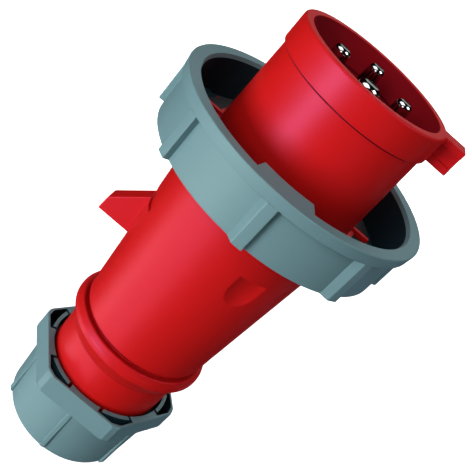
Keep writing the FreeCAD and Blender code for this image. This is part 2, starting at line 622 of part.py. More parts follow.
def plate_screws(top, first):
    """Pan head screws from the rear of the retainer plate, two on one diameter."""
    under_head = CARRIER_LOW - RETAINER_T
    shank = rod(PLATE_SCREW_R, under_head, top)
    head = rod(PLATE_SCREW_HEAD_R, under_head - PLATE_SCREW_HEAD_T, under_head)
    screw = shank.fuse(head)
    corner = Vector(-PLATE_SCREW_HEAD_R, -PLATE_SCREW_SLOT / 2, under_head - PLATE_SCREW_HEAD_T)
    slot = Part.makeBox(2 * PLATE_SCREW_HEAD_R, PLATE_SCREW_SLOT, PLATE_SCREW_SLOT, corner)
    screw = screw.cut(slot)
    screw.translate(Vector(PLATE_SCREW_CIRCLE_R, 0, 0))
    return Part.makeCompound(around(screw, 2, first))


def main():
    save("gland_nut", gland_nut())
    save("pressure_ring", pressure_ring())
    save("clamp_cage", clamp_cage())
    save("seal_bush", seal_bush())
    save("seal_insert", seal_insert())
    save("handle_shell", handle_shell())
    save("locking_ring", locking_ring())
    save("front_shroud", front_shroud())
    save("shroud_seal", shroud_seal())
    save("housing_seal", housing_seal())
    for number, angle in enumerate((0, 90, 180), 1):
        save("line_pin_%d" % number, contact(LINE_PIN_R, LINE_WIRE_R, LINE_SCREW_R, angle))
    save("earth_pin", contact(EARTH_PIN_R, EARTH_WIRE_R, EARTH_SCREW_R, -90))
    save("line_terminal_screws", terminal_screws(LINE_WIRE_R, LINE_SCREW_R, (0, 90, 180)))
    save("earth_terminal_screws", terminal_screws(EARTH_WIRE_R, EARTH_SCREW_R, (-90,)))
    save("contact_carrier", contact_carrier())
    save("retainer_plate", retainer_plate())
    save("retainer_screws", plate_screws(CARRIER_LOW + RETAINER_SCREW_DEPTH, 45))
    save("carrier_screws", plate_screws(FLOOR_LOW + CARRIER_SCREW_GRIP, 135))
    print("mouth height", MOUTH, "ring", RING_REAR, RING_FRONT, "crease", CREASE, "rim", RIM_LOW, RIM_HIGH)


main()
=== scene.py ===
import math

import bpy
from bpy.props import FloatProperty, FloatVectorProperty, PointerProperty
from bpy.types import Operator, Panel, PropertyGroup
from mathutils import Euler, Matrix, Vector


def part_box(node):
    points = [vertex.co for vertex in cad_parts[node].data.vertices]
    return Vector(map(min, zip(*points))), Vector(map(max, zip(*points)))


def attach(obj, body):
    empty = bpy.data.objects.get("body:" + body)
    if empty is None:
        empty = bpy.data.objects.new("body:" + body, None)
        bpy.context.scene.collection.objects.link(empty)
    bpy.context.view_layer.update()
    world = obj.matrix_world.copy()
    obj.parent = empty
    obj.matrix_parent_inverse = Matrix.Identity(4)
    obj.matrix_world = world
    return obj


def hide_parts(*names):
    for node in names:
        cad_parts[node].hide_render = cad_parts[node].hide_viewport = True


bl_info = {
    "name": "Pin and sleeve plug",
    "version": (1, 0, 0),
    "blender": (4, 5, 0),
    "location": "View3D > Sidebar > Plug",
    "description": "Dresses the construction model of a four pole pin and sleeve plug",
    "category": "Object",
}

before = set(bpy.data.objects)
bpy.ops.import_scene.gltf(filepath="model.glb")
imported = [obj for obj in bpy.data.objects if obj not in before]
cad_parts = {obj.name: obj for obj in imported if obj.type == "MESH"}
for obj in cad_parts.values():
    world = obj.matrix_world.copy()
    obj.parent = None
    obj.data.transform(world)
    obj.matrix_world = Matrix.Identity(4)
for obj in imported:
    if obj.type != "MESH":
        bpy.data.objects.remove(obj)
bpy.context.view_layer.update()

MM = 0.001
SEGMENTS = 144
ARC_STEPS = 5
TAPER_ROWS = 20
SMOOTH_ANGLE = math.radians(32)
WELD = 0.001 * MM
PAST = 1.0 * MM
NUT_CORNERS = [math.radians(60 * number) for number in range(6)]
NUT_FLATS = [math.radians(30 + 60 * number) for number in range(6)]

NUT_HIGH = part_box("gland_nut")[1]
HANDLE_LOW, HANDLE_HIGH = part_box("handle_shell")
RING_LOW, RING_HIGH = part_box("locking_ring")
SHROUD_LOW, SHROUD_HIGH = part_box("front_shroud")
COLLAR_SEAL_LOW, COLLAR_SEAL_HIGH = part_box("shroud_seal")
CARRIER_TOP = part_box("contact_carrier")[1].z
MOUTH = SHROUD_HIGH.z
FLANGE_TOP = COLLAR_SEAL_LOW.z
HANDLE_FRONT = HANDLE_HIGH.z


def length(name, description, default):
    """A size that a user may set, with its default in millimetres."""
    return FloatProperty(name=name, description=description, default=default * MM, min=0.0, unit="LENGTH")


def angle(name, description, degrees):
    """An angle that a user may set, with its default in degrees."""
    return FloatProperty(name=name, description=description, default=math.radians(degrees), unit="ROTATION")


def colour(name, description, default):
    return FloatVectorProperty(name=name, description=description, default=default, size=3,
                               min=0.0, max=1.0, subtype="COLOR")


class ShroudSizes(PropertyGroup):
    mouth_radius: length("Mouth radius", "Inner radius of the shroud", 25.65)
    top_radius: length("Top radius", "Outer radius behind the collar", 27.9)
    root_radius: length("Root radius", "Outer radius at the flange", 28.4)
    collar_radius: length("Collar radius", "Outer radius of the collar", 28.9)
    collar_length: length("Collar length", "Length of the thick front end", 9.9)
    rim_round: length("Rim round", "Round of the collar's front edge", 0.9)
    flange_radius: length("Flange radius", "Radius of the flange behind the ring's lugs", 36.4)
    flange_thickness: length("Flange thickness", "Thickness of the flange", 1.7)
    base_ring_radius: length("Base ring radius", "Radius of the ring at the foot of the shroud", 30.0)
    base_ring_height: length("Base ring height", "Height of that ring above the flange", 2.6)
    hub_radius: length("Hub radius", "Radius that the ring turns on", 28.9)
    spigot_radius: length("Spigot radius", "Radius that fits in the grip", 27.4)
    spigot_bore: length("Spigot bore", "Room for the contact carrier", 23.5)
    seal_groove: length("Seal groove", "Section of the ring seal on the spigot", 2.0)
    seal_groove_from_end: length("Groove from end", "From the spigot's end to its groove", 4.5)
    floor_above_flange: length("Floor above flange", "From the flange to the floor inside", 8.4)
    key_width: length("Key width", "Width of the polarising key", 7.7)
    key_length: length("Key length", "Length of the key along the plug", 9.5)
    key_edge: length("Key edge", "Round of the key's corners", 0.9)
    key_pocket_depth: length("Key pocket depth", "Depth of the pocket in each side of the key", 0.95)
    key_front_plate: length("Key front plate", "Thickness of the key in front of its pockets", 2.4)
    key_rear_plate: length("Key rear plate", "Thickness of the key behind its pockets", 2.5)
    tab_width: length("Tab width", "Width of the two tabs that hold the collar seal", 2.0)
    tab_reach: length("Tab reach", "From the axis to the end of a tab", 35.3)
    tab_height: length("Tab height", "Height of a tab above the seal", 1.8)
    stop_angle: angle("Stop angle", "From the key to each stop on the flange", 30)
    stop_width: angle("Stop width", "Width of each stop", 6)
    stop_reach: length("Stop reach", "How far a stop stands out of the flange", 2.2)


class RingSizes(PropertyGroup):
    bore_radius: length("Bore radius", "Inner radius of the ring", 42.9)
    panel_radius: length("Panel radius", "Outer radius between the ribs", 45.4)
    band_length: length("Band length", "Length of the band round the front edge", 4.1)
    flare: length("Flare", "How far the front edge stands out of the ribs", 0.5)
    band_slope: length("Band slope", "Length of the slope behind the band", 0.8)
    front_round: length("Front round", "Round of the front edge", 0.45)
    chamfer: length("Chamfer", "Width of the chamfer inside the front edge", 0.7)
    chamfer_length: length("Chamfer length", "Length of that chamfer", 1.4)
    lip_thickness: length("Lip thickness", "Thickness of the inward lip", 3.0)
    skirt: length("Skirt", "How far the ring reaches behind its lip", 1.5)
    rib_width: angle("Rib width", "Width of the flat top of each rib", 4.8)
    rib_slope: angle("Rib slope", "Width of the sloping side of each rib", 3.0)
    rib_edge: length("Rib edge", "Round of the ribs' edges", 0.35)
    lug_radius: length("Lug radius", "Inner radius of the bayonet lugs", 37.5)
    lug_half_width: angle("Lug half width", "Half the width of each lug", 14.2)
    lug_thickness: length("Lug thickness", "Thickness of each lug", 4.8)
    lug_ramp: angle("Lug ramp", "Slope of the lugs' rear faces", 5)
    running_gap: length("Running gap", "Gap between the ring and its hub", 0.1)


class HandleSizes(PropertyGroup):
    thread_radius: length("Thread radius", "Outer radius of the thread for the gland nut", 21.9)
    thread_pitch: length("Thread pitch", "Pitch of the thread", 2.0)
    thread_depth: length("Thread depth", "Depth of the thread", 0.8)
    neck_radius: length("Neck radius", "Radius of the neck at the nut", 23.4)
    neck_root_radius: length("Neck root radius", "Radius of the neck at the rim", 24.0)
    neck_length: length("Neck length", "Neck that shows in front of the nut", 13.5)
    rim_radius: length("Rim radius", "Outer radius of the rim", 27.9)
    rim_fillet: length("Rim fillet", "Length of the hollow behind the rim", 5.6)
    rim_length: length("Rim length", "Length of the rim", 5.0)
    groove_width: length("Groove width", "Width of the groove in front of the rim", 1.3)
    groove_depth: length("Groove depth", "Depth of the groove", 1.2)
    rear_radius: length("Rear radius", "Radius of the grip at its rear", 25.5)
    crease_radius: length("Crease radius", "Radius where the grip flares", 29.9)
    front_radius: length("Front radius", "Radius of the grip at its front", 31.3)
    flare_length: length("Flare length", "Length of the flared front", 16.7)
    wall: length("Wall", "Thickness of the grip's wall", 3.0)
    catch_width: length("Catch width", "Width of the cover catch", 7.3)
    catch_drop: length("Catch drop", "How far the catch's top falls to the front", 0.5)
    catch_back: length("Catch back", "From the crease to the catch's steep face", 30.3)
    catch_top: length("Catch top", "Length of the catch's top", 6.0)
    catch_ramp: length("Catch ramp", "Length of the catch's ramp", 11.0)
    catch_edge: length("Catch edge", "Round of the catch's edges", 0.5)
    relief_half_width: angle("Relief half width", "Half the width of the relief before the catch", 27)
    relief_length: length("Relief length", "Length of the relief", 4.6)
    relief_depth: length("Relief depth", "Depth of the relief", 0.8)
    recess_angle: angle("Recess angle", "From the key's side to each thumb recess", 61.5)
    recess_radius: length("Recess radius", "Radius of the scooped thumb recess", 16.4)
    recess_depth: length("Recess depth", "Depth of the recess at the crease", 1.4)
    recess_straight: length("Recess straight", "Length of the recess before its round end", 5.8)
    recess_to_crease: length("Recess to crease", "From the recess's front edge to the crease", 0.8)


class NutSizes(PropertyGroup):
    flat_length: length("Flat length", "Length of the hexagon", 9.0)
    across_flats: length("Across flats", "Width of the hexagon across its flats", 54.8)
    corner_radius: length("Corner radius", "Radius of the hexagon's blunted corners", 30.9)
    shoulder_radius: length("Shoulder radius", "Radius of the dome at the hexagon", 26.6)
    rear_radius: length("Rear radius", "Radius of the dome at its rear", 25.2)
    rear_round: length("Rear round", "Round of the dome's rear edge", 2.0)
    bevel: length("Bevel", "Bevel of the blunt corners", 0.5)
    bevel_length: length("Bevel length", "Length of that bevel along the nut", 0.8)
    pocket_wall: length("Pocket wall", "Wall round the finger pockets", 0.9)
    web_width: length("Web width", "Width of the web in the middle of each flat", 13.1)
    floor: length("Floor", "Thickness of the rear wall", 4.5)
    rib_width: length("Rib width", "Width of each grip rib", 2.2)
    rib_height: length("Rib height", "Height of a rib at its rear end", 1.4)
    rib_top: length("Rib top", "Height of a rib at the hexagon", 0.5)
    mouth_radius: length("Mouth radius", "Inner radius of the fingers", 24.9)
    bore_radius: length("Bore radius", "Radius of the threaded bore", 22.2)
    finger_thickness: length("Finger thickness", "Thickness of the fingers", 1.4)
    finger_slit: length("Finger slit", "Width of the slits beside each finger", 1.2)
    finger_depth: length("Finger depth", "Depth of the pockets behind the fingers", 6.8)
    cable_hole_radius: length("Cable hole radius", "Radius of the hole for the cable", 12.5)


class PinSizes(PropertyGroup):
    line_radius: length("Line pin radius", "Radius of the three line pins", 3.0)
    earth_radius: length("Earth pin radius", "Radius of the earth pin", 4.0)
    line_barrel: length("Line barrel radius", "Radius of a line pin's wire barrel", 5.2)
    earth_barrel: length("Earth barrel radius", "Radius of the earth pin's wire barrel", 5.8)
    line_wire: length("Line wire radius", "Radius of a line pin's wire hole", 3.0)
    earth_wire: length("Earth wire radius", "Radius of the earth pin's wire hole", 3.6)
    wire_depth: length("Wire depth", "Depth of the wire holes", 18.0)
    collar_length: length("Collar length", "Length of the collar under the floor", 3.0)
    collar_step: length("Collar step", "How far the collar stands out of the pin", 1.2)
    root_step: length("Root step", "How far the pin's root stands out", 0.4)
    hole_gap: length("Hole gap", "Gap round the pin in the floor", 0.1)
    tip_round: FloatProperty(name="Tip round", description="Round of the tip as a share of the pin's radius",
                             default=0.6, min=0.0, max=0.95)


class FinishColours(PropertyGroup):
    red: colour("Red plastic", "Shroud and grip", (0.62, 0.008, 0.006))
    grey: colour("Grey plastic", "Locking ring and gland nut", (0.153, 0.277, 0.304))
    # Painted shade for the inside of the shroud.
    red_painted_hollow_shade: colour("Red hollow", "Inside of the shroud", (0.36, 0.005, 0.008))
    # Painted shade for the steps and grooves of the red plastic.
    red_crevice_painted_shade: colour("Red crevice", "Steps and grooves of the red plastic", (0.13, 0.002, 0.003))
    # Painted shade, bluish black, for the inside of the locking ring and of the nut's pockets.
    grey_painted_hollow_shade: colour("Grey hollow", "Inside of the ring and of the nut's pockets", (0.008, 0.03, 0.045))
    red_sheen: colour("Red sheen", "Tint of the red plastic's reflections", (0.95, 0.42, 1.0))
    grey_sheen: colour("Grey sheen", "Tint of the grey plastic's reflections", (0.76, 1.0, 0.88))
    black: colour("Black plastic", "Contact carrier", (0.02, 0.02, 0.022))
    rubber: colour("Rubber", "Seals", (0.018, 0.018, 0.02))
    plating: colour("Plating", "Nickel plating of the pins", (0.72, 0.73, 0.75))
    # Painted reflection: dark colour for the pins' sides, standing in for the dark surroundings they would
    # reflect; the finish there is the same as at the tips.
    shank_painted_reflection: colour("Pin shank", "Duller sides of the pins", (0.1, 0.1, 0.11))
    steel: colour("Steel", "Screws", (0.52, 0.53, 0.55))


class StageSettings(PropertyGroup):
    camera_place: FloatVectorProperty(name="Camera place", description="Where the camera stands", subtype="XYZ",
                                      unit="LENGTH", default=(-0.01987, -0.251636, 0.233044))
    camera_turn: FloatVectorProperty(name="Camera turn", description="How the camera is turned",
                                     subtype="EULER", default=(0.9770493, -0.6576803, 0.3040660))
    camera_lens: FloatProperty(name="Camera lens", description="Focal length in millimetres", default=62.294)
    floor_size: length("Floor size", "Side of the floor", 6000)
    wall_height: length("Wall height", "Height of the pale walls at the floor's edges", 4000)
    floor_colour: colour("Floor colour", "Colour of the floor", (0.94, 0.94, 0.94))
    fill: FloatProperty(name="Fill", description="Strength of the even light all round", default=0.12)


def clear_selection():
    """Back to object mode with nothing selected."""
    if bpy.context.object and bpy.context.object.mode != "OBJECT":
        bpy.ops.object.mode_set(mode="OBJECT")
    bpy.ops.object.select_all(action="DESELECT")


def select_only(*pieces):
    clear_selection()
    for piece in pieces:
        piece.select_set(True)
    bpy.context.view_layer.objects.active = pieces[0]


def polar(radius, turn, height=0.0):
    return Vector((radius * math.cos(turn), radius * math.sin(turn), height))


def rounded(corners):
    """Outline of corners (r, z), (r, z, round) or (r, z, round, steps), with arcs at the round ones."""
    points = []
    for number, corner in enumerate(corners):
        here = Vector(corner[:2])
        if len(corner) == 2:
            points.append(here)
            continue
        steps = corner[3] if len(corner) > 3 else ARC_STEPS
        before = (Vector(corners[number - 1][:2]) - here).normalized()
        after = (Vector(corners[(number + 1) % len(corners)][:2]) - here).normalized()
        half = before.angle(after) / 2
        middle = here + (before + after).normalized() * corner[2] / math.sin(half)
        start = (here + before * corner[2] / math.tan(half) - middle).normalized()
        end = (here + after * corner[2] / math.tan(half) - middle).normalized()
        points += [middle + start.slerp(end, step / steps) * corner[2] for step in range(steps + 1)]
    return points


def draw(name, points):
    """A closed wire through points, drawn by extruding one vertex, left open in edit mode."""
    clear_selection()
    bpy.ops.mesh.primitive_circle_add(vertices=3, radius=MM, location=points[0])
    piece = bpy.context.object
    piece.name = name
    piece.data.name = name
    bpy.ops.object.transform_apply(location=True, rotation=False, scale=False)
    bpy.ops.object.mode_set(mode="EDIT")
    bpy.ops.mesh.merge(type="CENTER")
    for start, end in zip(points, points[1:] + points[:1]):
        bpy.ops.mesh.extrude_region_move(TRANSFORM_OT_translate={"value": end - start})
    bpy.ops.mesh.select_all(action="SELECT")
    bpy.ops.mesh.remove_doubles(threshold=WELD)
    return piece


def close_mesh():
    """Welds the seam, drops what hangs loose, turns every face outwards and leaves edit mode."""
    bpy.ops.mesh.select_all(action="SELECT")
    bpy.ops.mesh.remove_doubles(threshold=WELD)
    bpy.ops.mesh.delete_loose()
    bpy.ops.mesh.select_all(action="SELECT")
    bpy.ops.mesh.normals_make_consistent(inside=False)
    bpy.ops.object.mode_set(mode="OBJECT")


def turned(name, *corners):
    """A body turned about the plug's axis from half of its section."""
    outline = [Vector((point.x, 0, point.y)) for point in rounded(corners)]
    piece = draw(name, outline)
    bpy.ops.mesh.spin(steps=SEGMENTS, angle=math.tau, center=(0, 0, 0), axis=(0, 0, 1))
    close_mesh()
    return piece


def sector(name, corners, start, end):
    """Part of a turned body, between two angles."""
    outline = [polar(point.x, start, point.y) for point in rounded(corners)]
    piece = draw(name, outline)
    steps = max(3, round((end - start) / math.tau * SEGMENTS))
    bpy.ops.mesh.spin(steps=steps, angle=start - end, center=(0, 0, 0), axis=(0, 0, 1))
    bpy.ops.mesh.select_all(action="SELECT")
    bpy.ops.mesh.fill_holes(sides=0)
    close_mesh()
    return piece


def prism(name, points, reach):
    """A closed outline, filled and extruded along a vector."""
    piece = draw(name, points)
    bpy.ops.mesh.edge_face_add()
    bpy.ops.mesh.extrude_region_move(TRANSFORM_OT_translate={"value": reach})
    close_mesh()
    return piece


def block(name, low, high):
    """A straight block between two corners."""
    points = [Vector((low.x, low.y, low.z)), Vector((high.x, low.y, low.z)),
              Vector((high.x, high.y, low.z)), Vector((low.x, high.y, low.z))]
    return prism(name, points, Vector((0, 0, high.z - low.z)))


def rod(name, radius, low, high, at=Vector((0, 0, 0)), sides=48):
    clear_selection()
    bpy.ops.mesh.primitive_cylinder_add(vertices=sides, radius=radius, depth=high - low,
                                        location=(at.x, at.y, (low + high) / 2))
    piece = bpy.context.object
    piece.name = name
    bpy.ops.object.transform_apply(location=True, rotation=False, scale=False)
    return piece


def spun(piece, turn):
    """Turns a piece about the plug's axis."""
    select_only(piece)
    piece.rotation_euler.z = turn
    bpy.ops.object.transform_apply(location=False, rotation=True, scale=False)
    return piece


def copies(piece, turns):
    """The piece at each angle, as one object. The piece itself goes."""
    made = []
    for turn in turns:
        copy = piece.copy()
        copy.data = piece.data.copy()
        bpy.context.collection.objects.link(copy)
        made.append(spun(copy, turn))
    bpy.data.objects.remove(piece)
    select_only(*made)
    bpy.ops.object.join()
    return made[0]


def apply(piece, kind, **settings):
    """Adds a modifier and applies it."""
    modifier = piece.modifiers.new(kind.lower(), kind)
    for key, value in settings.items():
        setattr(modifier, key, value)
    select_only(piece)
    bpy.ops.object.modifier_apply(modifier=modifier.name)
    return piece


def soften(piece, width, segments=2, limit=40):
    """Rounds the edges that are sharper than the limit, in degrees."""
    return apply(piece, "BEVEL", width=width, segments=segments, limit_method="ANGLE",
                 angle_limit=math.radians(limit), use_clamp_overlap=True)


def combine(piece, tool, operation):
    apply(piece, "BOOLEAN", object=tool, operation=operation, solver="EXACT")
    bpy.data.objects.remove(tool)
    return piece


def add(piece, tool):
    return combine(piece, tool, "UNION")


def cut(piece, tool):
    return combine(piece, tool, "DIFFERENCE")


def finish_piece(piece, body, slot, material, *nodes):
    """Smooth shading, material and place in the frame of a piece that stands for nodes."""
    select_only(piece)
    bpy.ops.object.shade_smooth_by_angle(angle=SMOOTH_ANGLE)
    apply(piece, "WEIGHTED_NORMAL", keep_sharp=True)
    piece.data.materials.clear()
    piece.data.materials.append(material)
    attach(piece, body)
    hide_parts(*nodes)


class Wire:
    """A node's output that takes part in sums. A sum adds a Math node."""

    def __init__(self, finish, socket):
        self.finish = finish
        self.socket = socket

    def sum(self, operation, first, second):
        return self.finish.node("ShaderNodeMath", {"operation": operation}, {0: first, 1: second})

    def __add__(self, other):
        return self.sum("ADD", self, other)

    def __radd__(self, other):
        return self.sum("ADD", other, self)

    def __sub__(self, other):
        return self.sum("SUBTRACT", self, other)

    def __rsub__(self, other):
        return self.sum("SUBTRACT", other, self)

    def __mul__(self, other):
        return self.sum("MULTIPLY", self, other)

    def __rmul__(self, other):
        return self.sum("MULTIPLY", other, self)

    def __pow__(self, other):
        return self.sum("POWER", self, other)

    def larger(self, other):
        return self.sum("MAXIMUM", self, other)


class Finish:
    """A material whose nodes are made one by one around its shader."""

    def __init__(self, name, **constants):
        self.material = bpy.data.materials.new(name)
        self.material.use_nodes = True
        self.tree = self.material.node_tree
        self.shader = self.tree.nodes["Principled BSDF"]
        for key, value in constants.items():
            self.shader.inputs[key.replace("_", " ")].default_value = value
        self.place = self.node("ShaderNodeTexCoord", output="Object")

    def node(self, kind, settings=None, values=None, output=0):
        """A node of one kind: its settings, then the values or wires of its sockets."""
        made = self.tree.nodes.new(kind)
        for key, value in (settings or {}).items():
            if key == "stops":
                made.color_ramp.elements[0].position, made.color_ramp.elements[0].color = value[0]
                made.color_ramp.elements[1].position, made.color_ramp.elements[1].color = value[1]
            else:
                setattr(made, key, value)
        for key, value in (values or {}).items():
            self.plug(made.inputs[key], value)
        return Wire(self, made.outputs[output])

    def plug(self, socket, value):
        if isinstance(value, Wire):
            self.tree.links.new(value.socket, socket)
        else:
            socket.default_value = value

    def feed(self, name, value):
        """Sends a wire into the shader."""
        self.plug(self.shader.inputs[name], value)

    def noise(self, size, detail=3.0, roughness=0.55, stretch=(1, 1, 1)):
        """Noise from 0 to 1 whose lumps are about one size in metres."""
        spread = self.node("ShaderNodeMapping", values={"Vector": self.place, "Scale": stretch})
        return self.node("ShaderNodeTexNoise", values={"Vector": spread, "Scale": 1 / size, "Detail": detail,
                                                       "Roughness": roughness})

    def blend(self, share, first, second):
        """Mixes two colours."""
        return self.node("ShaderNodeMix", {"data_type": "RGBA"}, {0: share, 6: first, 7: second}, output=2)

    def radius(self):
        """Distance from the plug's axis."""
        flat = self.node("ShaderNodeVectorMath", {"operation": "MULTIPLY"}, {0: self.place, 1: (1, 1, 0)})
        return self.node("ShaderNodeVectorMath", {"operation": "LENGTH"}, {0: flat}, output=1)

    def height(self):
        return self.node("ShaderNodeSeparateXYZ", values={0: self.place}, output=2)

    def within(self, edge, soft=0.2 * MM):
        """1 nearer to the axis than an edge, 0 outside."""
        return self.between(self.radius(), edge, edge + soft, 1.0, 0.0)

    def band(self, low, high, soft=0.1 * MM):
        """1 between two heights, 0 outside."""
        height = self.height()
        return self.between(height, low - soft, low) * self.between(height, high, high + soft, 1.0, 0.0)

    def between(self, value, low, high, to_low=0.0, to_high=1.0):
        """Spreads the values from low to high over another range, and holds them inside it."""
        limits = {"From Min": low, "From Max": high, "To Min": to_low, "To Max": to_high}
        return self.node("ShaderNodeMapRange", {"clamp": True}, {"Value": value, **limits})

    def bump(self, height, distance, strength=1.0):
        values = {"Height": height, "Distance": distance, "Strength": strength}
        self.feed("Normal", self.node("ShaderNodeBump", values=values))


def shade(rgb, factor):
    """A colour made lighter or darker, with alpha."""
    return tuple(min(1.0, part * factor) for part in rgb) + (1.0,)


def ring_painted_shade(finish):
    """Painted shade: mask of the inside of the locking ring, behind its chamfer, which is darkened."""
    size = bpy.context.scene.plug_ring
    inside = finish.within(size.bore_radius + 0.1 * MM)
    return inside * finish.band(RING_LOW.z + size.skirt + size.lip_thickness, RING_HIGH.z - size.chamfer_length)


def nut_painted_shade(finish):
    """Painted shade: mask of the inside of the pockets in the gland nut's hexagon, which is darkened."""
    size = bpy.context.scene.plug_nut
    away = []
    for turn in NUT_FLATS[:3]:
        reach = finish.node("ShaderNodeVectorMath", {"operation": "DOT_PRODUCT"},
                            {0: finish.place, 1: polar(1.0, turn)}, output=1)
        away.append(finish.node("ShaderNodeMath", {"operation": "ABSOLUTE"}, {0: reach}))
    across = away[0].larger(away[1]).larger(away[2])
    flat = size.across_flats / 2
    inside = finish.between(across, flat - 0.5 * MM, flat - 0.25 * MM, 1.0, 0.0)
    pocket = size.corner_radius - size.bevel - size.pocket_wall
    inside = inside * finish.within(pocket + 0.1 * MM)
    return inside * finish.band(NUT_HIGH.z - size.finger_depth, NUT_HIGH.z - 0.4 * MM)


def mouth_painted_shade(finish):
    """Painted shade: mask of the inside of the shroud, which is darkened."""
    size = bpy.context.scene.plug_shroud
    inside = finish.within(size.mouth_radius + 0.1 * MM)
    return inside * finish.band(FLANGE_TOP + size.floor_above_flange - 0.2 * MM, MOUTH - 0.3 * MM)


def red_painted_shade_mask(finish):
    """Painted shade: mask of the red plastic's steps and grooves, where little light reaches: the collar's step,
    the groove in front of the rim, the hollow at the neck's top and the front edges of the thumb recesses.
    """
    shroud = bpy.context.scene.plug_shroud
    handle = bpy.context.scene.plug_handle
    step = MOUTH - shroud.collar_length
    below = finish.within(shroud.collar_radius - 0.3 * MM, 0.15 * MM)
    neck_top = NUT_HIGH.z + handle.neck_length
    rim_high = neck_top + handle.rim_fillet + handle.rim_length
    groove = finish.band(rim_high + 0.1 * MM, rim_high + handle.groove_width - 0.1 * MM)
    hollow = finish.band(neck_top, neck_top + 0.3 * MM, 0.3 * MM)
    front = HANDLE_FRONT - handle.flare_length - handle.recess_to_crease
    scoop = finish.within(handle.crease_radius - 0.7 * MM)
    scoop = scoop * finish.band(front - 0.3 * MM, front + 0.1 * MM, 0.2 * MM)
    return below * finish.band(step - 0.6 * MM, step - 0.05 * MM) + groove + 0.35 * hollow + 0.8 * scoop


def moulded(name, rgb, sheen, roughness, grain, drift, specular=0.2, painted_shades=()):
    """Injection moulded plastic: fine grain, slow drift of colour, faint scuffs, and painted shade where a mask
    marks a hollow or crevice, which also makes it rougher there.
    """
    finish = Finish(name, Specular_IOR_Level=specular, Specular_Tint=shade(sheen, 1.0))
    slow = finish.noise(26 * MM, detail=2.0)
    fine = finish.noise(0.55 * MM, detail=4.0)
    pits = finish.noise(0.16 * MM, detail=2.0)
    scuffs = finish.noise(3.2 * MM, detail=6.0, roughness=0.7, stretch=(1, 1, 0.16))
    marks = finish.between(scuffs, 0.62, 0.74)
    share = slow * 0.7 + fine * 0.3
    colours = finish.blend(share, shade(rgb, 1 - drift), shade(rgb, 1 + drift))
    gloss = roughness - 0.05 + 0.1 * fine + 0.06 * marks
    # Painted shade: each mask darkens the colour towards its dark colour, and the surface is made rougher there.
    for hollow, dark in painted_shades:
        shade_share = hollow(finish)
        colours = finish.blend(shade_share, colours, shade(dark, 1.0))
        gloss = gloss + 0.3 * shade_share
    finish.feed("Base Color", colours)
    finish.feed("Roughness", gloss)
    finish.bump(fine * 0.6 + pits * 0.4, grain)
    return finish.material


def soft_rubber(name, rgb):
    finish = Finish(name, Specular_IOR_Level=0.3)
    dust = finish.noise(5 * MM, detail=5.0)
    fine = finish.noise(0.3 * MM, detail=3.0)
    bloom = finish.between(dust, 0.45, 0.8)
    finish.feed("Base Color", finish.blend(bloom, shade(rgb, 1.0), shade(rgb, 2.2)))
    finish.feed("Roughness", 0.62 + 0.2 * bloom)
    finish.bump(fine, 0.02 * MM)
    return finish.material


def turned_metal(name, rgb, roughness, ring_pitch, ring_depth, shank_painted_reflection=None):
    """Turned and plated metal: rings round the axis, fine scratches along it, and perhaps a dark painted
    reflection on the sides below a pin's tip.
    """
    finish = Finish(name, Metallic=1.0)
    rings = finish.noise(ring_pitch, detail=2.0, stretch=(0.02, 0.02, 1))
    scratches = finish.noise(0.25 * MM, detail=3.0, stretch=(1, 1, 0.03))
    cloud = finish.noise(4 * MM, detail=4.0)
    worn = finish.between(scratches, 0.6, 0.75)
    colours = finish.blend(cloud, shade(rgb, 0.9), shade(rgb, 1.06))
    # Painted reflection: below the tip the pin's colour is darkened, so its sides look as if they reflect dark
    # surroundings.
    if shank_painted_reflection:
        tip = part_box("line_pin_1")[1].z
        low = tip - bpy.context.scene.plug_pins.line_radius
        colours = finish.blend(finish.between(finish.height(), low - 2 * MM, low + MM, 1.0, 0.0), colours,
                               shade(shank_painted_reflection, 1.0))
    finish.feed("Base Color", colours)
    finish.feed("Roughness", roughness + 0.06 * cloud + 0.1 * worn)
    finish.bump(rings, ring_depth, 0.6)
    return finish.material


class MaterialSet:
    """Every finish of the plug, made once."""

    made = {}

    @classmethod
    def get(cls, name):
        if not cls.made:
            tint = bpy.context.scene.plug_colours
            # Painted shade: the red plastic darkens inside the mouth and in its steps and grooves, the ring's and
            # the nut's plastic inside their hollows.
            red = {"rgb": tint.red, "sheen": tint.red_sheen, "roughness": 0.42, "grain": 0.012 * MM,
                   "drift": 0.06, "painted_shades": ((mouth_painted_shade, tint.red_painted_hollow_shade), (red_painted_shade_mask, tint.red_crevice_painted_shade))}
            grey = {"rgb": tint.grey, "sheen": tint.grey_sheen, "roughness": 0.5, "grain": 0.02 * MM,
                    "drift": 0.05, "specular": 0.25}
            cls.made = {
                "red_plastic": moulded("red_plastic", **red),
                "ring_plastic_painted_shade": moulded("ring_plastic_painted_shade", painted_shades=((ring_painted_shade, tint.grey_painted_hollow_shade),), **grey),
                "nut_plastic_painted_shade": moulded("nut_plastic_painted_shade", painted_shades=((nut_painted_shade, tint.grey_painted_hollow_shade),), **grey),
                "grey_plastic": moulded("grey_plastic", **grey),
                "black_plastic": moulded("black_plastic", tint.black, tint.grey_sheen, roughness=0.5,
                                         grain=0.02 * MM, drift=0.15),
                "rubber": soft_rubber("rubber", tint.rubber),
                "plated_brass": turned_metal("plated_brass", tint.plating, roughness=0.08, ring_pitch=0.12 * MM,
                                             ring_depth=0.002 * MM, shank_painted_reflection=tint.shank_painted_reflection),
                "steel": turned_metal("steel", tint.steel, roughness=0.28, ring_pitch=0.2 * MM,
                                      ring_depth=0.004 * MM),
            }
        return cls.made[name]


